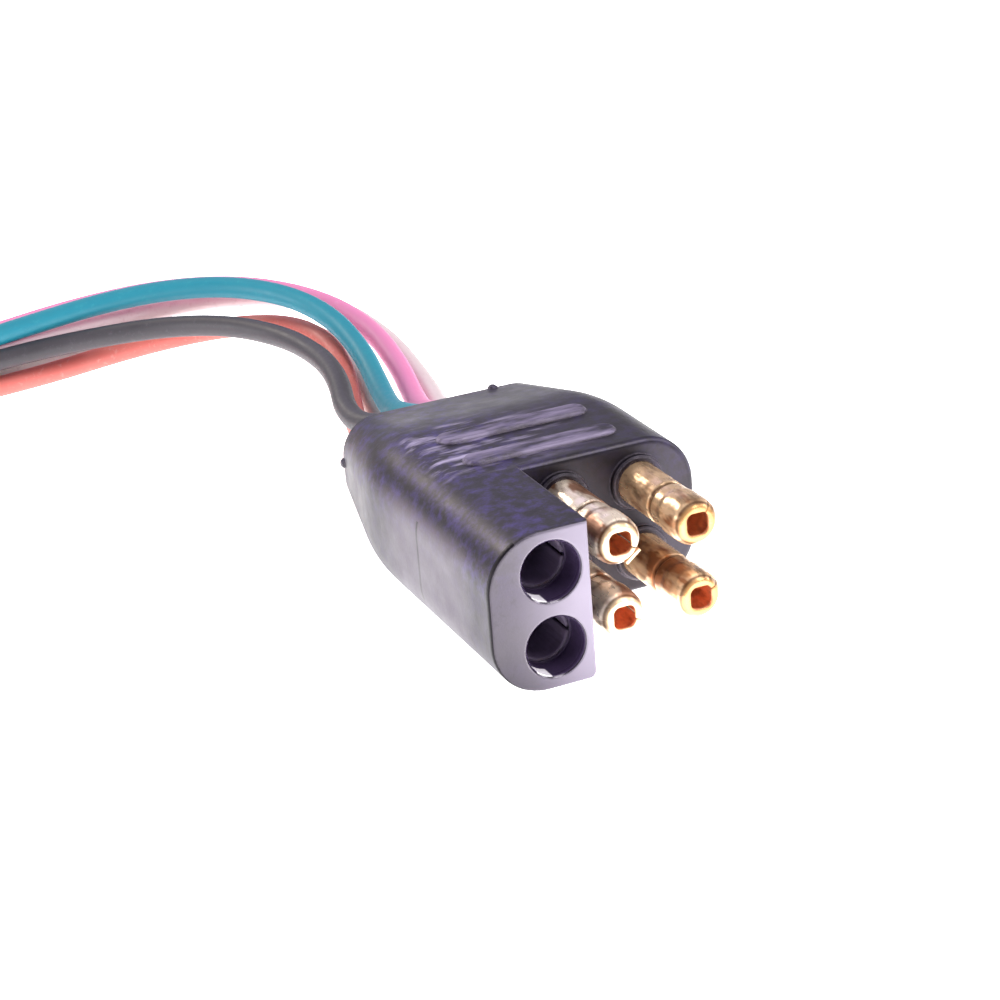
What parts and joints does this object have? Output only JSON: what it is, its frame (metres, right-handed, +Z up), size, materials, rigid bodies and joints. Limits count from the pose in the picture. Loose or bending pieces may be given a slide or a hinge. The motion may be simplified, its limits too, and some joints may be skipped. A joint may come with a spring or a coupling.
{
  "type": "trailer wiring connector",
  "caption": "Moulded rectangular trailer wiring connector half: socket block beside recessed brass bullets, ribbed grip, tapered rear, coloured leads stored in a tied coil.",
  "frame": {"origin": "centre of the moulded body's footprint on the surface it rests on", "axes": "-Y is the mating direction, +X is right as seen from the mating face, +Z is up; the leads leave towards +Y"},
  "size_m": [0.1222, 0.1414, 0.0205],
  "materials": {
    "moulded_body": "satin moulded black PVC",
    "brass": "rolled and lightly tarnished",
    "copper_strand": "bright stranded copper",
    "lead_black": "satin PVC insulation",
    "lead_red": "satin PVC insulation",
    "lead_teal": "satin PVC insulation",
    "lead_offwhite": "satin PVC insulation",
    "lead_pink": "satin PVC insulation",
    "lead_white": "satin PVC insulation",
    "coiled_leads": "six coloured leads wound together",
    "nylon": "natural nylon"
  },
  "bodies": {
    "root": {"housing": "moulded_body", "bullet_terminal_upper_middle": "brass", "bullet_terminal_lower_middle": "brass", "bullet_terminal_upper_right": "brass", "bullet_terminal_lower_right": "brass", "socket_terminal_upper": "brass", "socket_terminal_lower": "brass", "conductor_upper_left": "copper_strand", "conductor_lower_left": "copper_strand", "conductor_upper_middle": "copper_strand", "conductor_lower_middle": "copper_strand", "conductor_upper_right": "copper_strand", "conductor_lower_right": "copper_strand", "lead_end_upper_left": "lead_black", "lead_end_lower_left": "lead_red", "lead_end_upper_middle": "lead_teal", "lead_end_lower_middle": "lead_offwhite", "lead_end_upper_right": "lead_pink", "lead_end_lower_right": "lead_white", "wire_upper_left": "lead_black", "wire_lower_left": "lead_red", "wire_upper_middle": "lead_teal", "wire_lower_middle": "lead_offwhite", "wire_upper_right": "lead_pink", "wire_lower_right": "lead_white", "lead_coil": "coiled_leads", "coil_tie": "nylon", "bare_end_upper_left": "copper_strand", "bare_end_lower_left": "copper_strand", "bare_end_upper_middle": "copper_strand", "bare_end_lower_middle": "copper_strand", "bare_end_upper_right": "copper_strand", "bare_end_lower_right": "copper_strand"}
  },
  "joints": []
}
